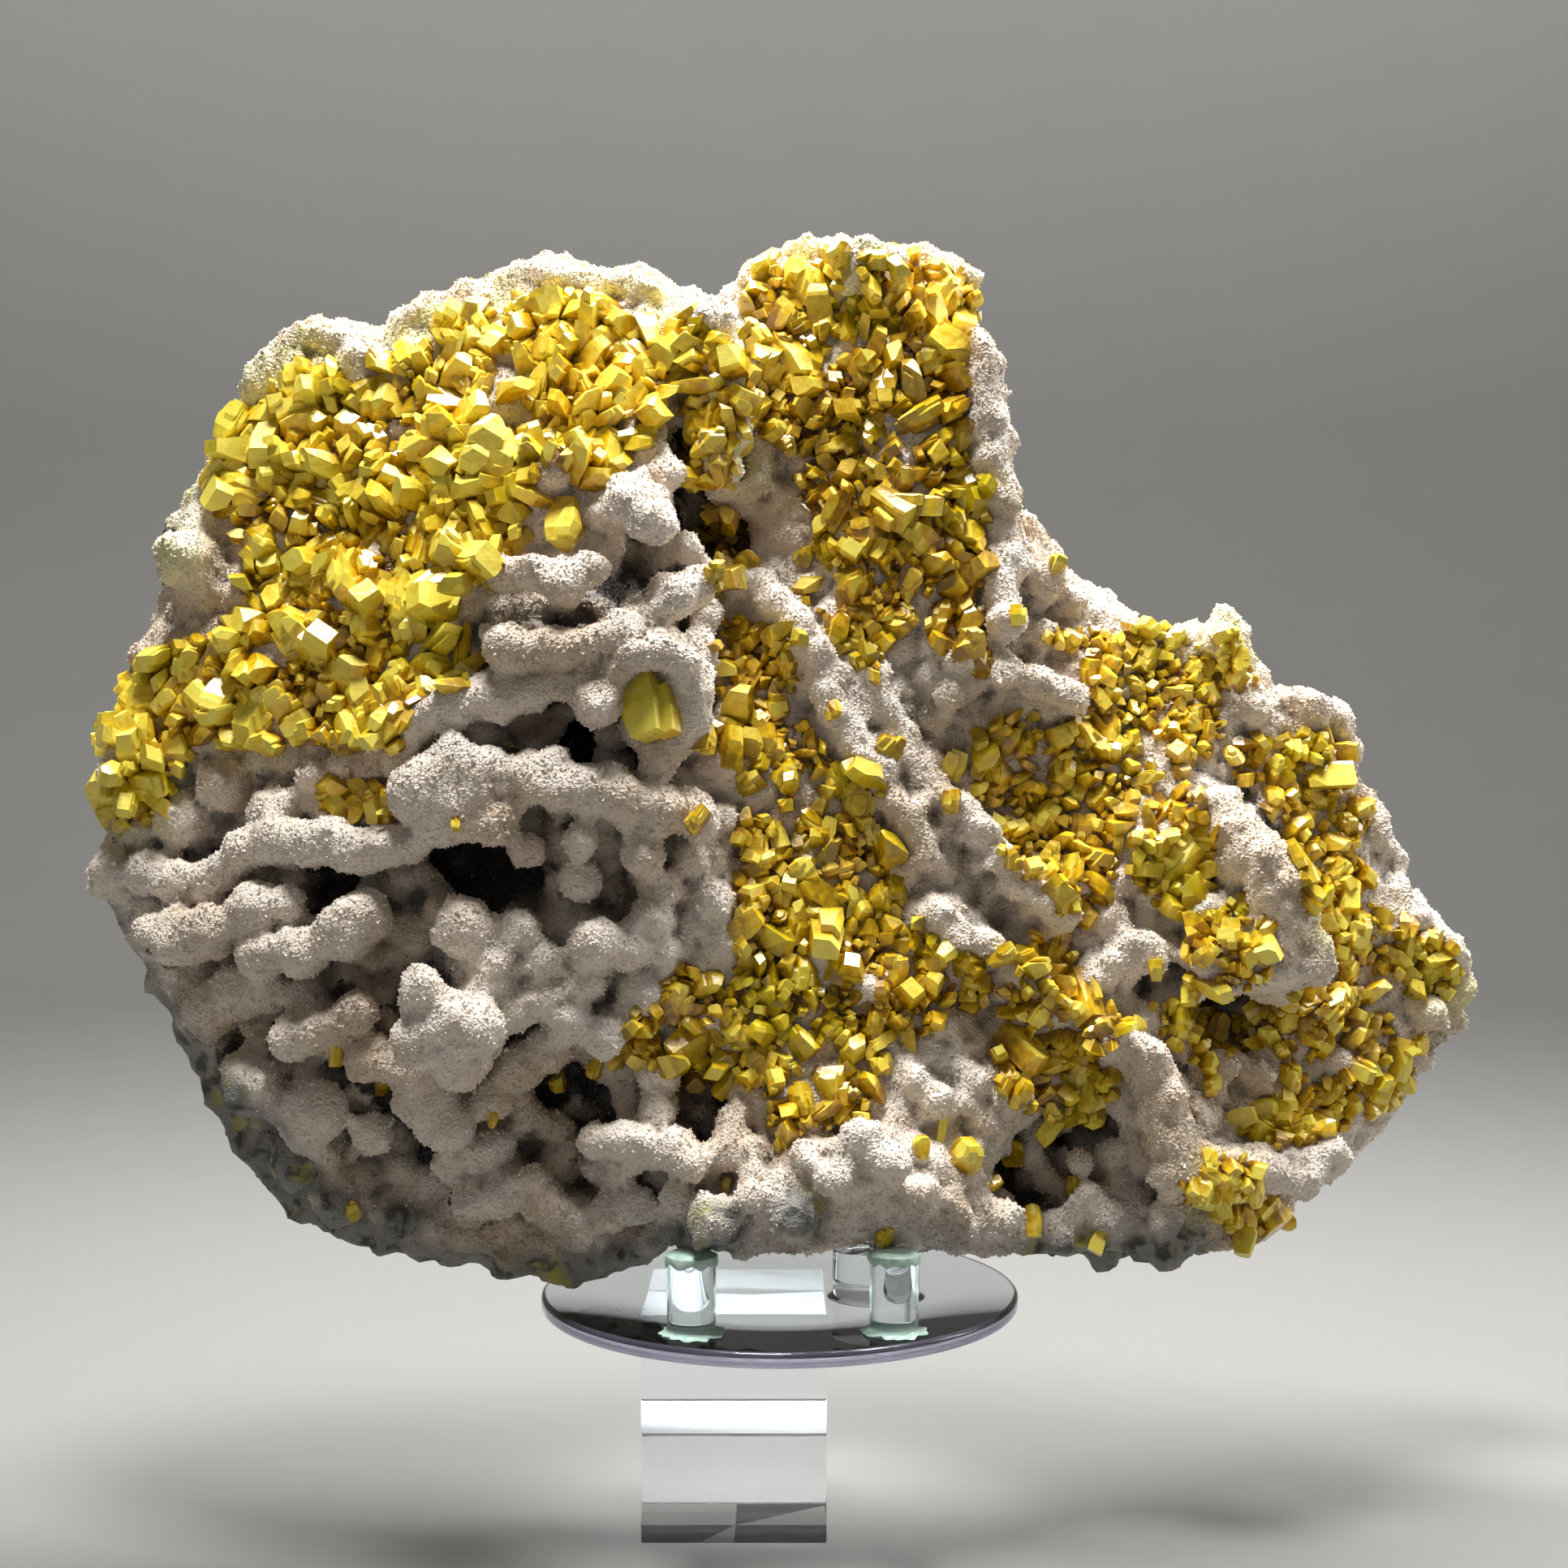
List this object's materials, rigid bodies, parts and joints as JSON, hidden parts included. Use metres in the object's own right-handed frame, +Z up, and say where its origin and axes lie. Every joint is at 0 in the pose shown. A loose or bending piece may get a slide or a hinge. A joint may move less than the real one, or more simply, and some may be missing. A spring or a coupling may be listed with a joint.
{
  "type": "sulfur on aragonite specimen",
  "caption": "Plate of white knobbly aragonite crusted with yellow sulfur crystals, standing upright on a clear acrylic disc stand, for display.",
  "frame": {"origin": "centre of the bottom face of the stand's lower block", "axes": "+X to the right as seen from the crystal-covered front, +Y to the back, +Z up"},
  "size_m": [0.3062, 0.1016, 0.2754],
  "materials": {
    "aragonite": "white to beige druse of fine crystals over grey rock, sparkling",
    "sulfur": "translucent yellow crystals with glossy faces",
    "acrylic": "clear polished acrylic",
    "putty": "pale green-white mounting putty"
  },
  "bodies": {
    "root": {"stand_block_lower": "acrylic", "stand_block_upper": "acrylic", "stand_disc": "acrylic", "stand_peg_left": "acrylic", "putty_pad_left": "putty", "stand_peg_right": "acrylic", "putty_pad_right": "putty", "stand_post_back": "acrylic", "aragonite_matrix": "aragonite", "sulfur_upper_left": "sulfur", "sulfur_tower": "sulfur", "sulfur_valley": "sulfur", "sulfur_right": "sulfur", "sulfur_right_rim": "sulfur", "sulfur_far_right": "sulfur", "sulfur_lower_right": "sulfur", "sulfur_middle_low": "sulfur", "sulfur_crystal_column": "sulfur", "sulfur_crystal_eye": "sulfur", "sulfur_crystal_left_rim": "sulfur", "sulfur_crystal_hollow": "sulfur", "sulfur_crystal_cleft": "sulfur", "sulfur_crystal_fin_top": "sulfur", "sulfur_crystal_fin_foot": "sulfur", "sulfur_crystal_pocket": "sulfur", "sulfur_crystal_ledge": "sulfur", "sulfur_crystal_corner": "sulfur", "sulfur_crystal_foot": "sulfur"}
  },
  "joints": []
}
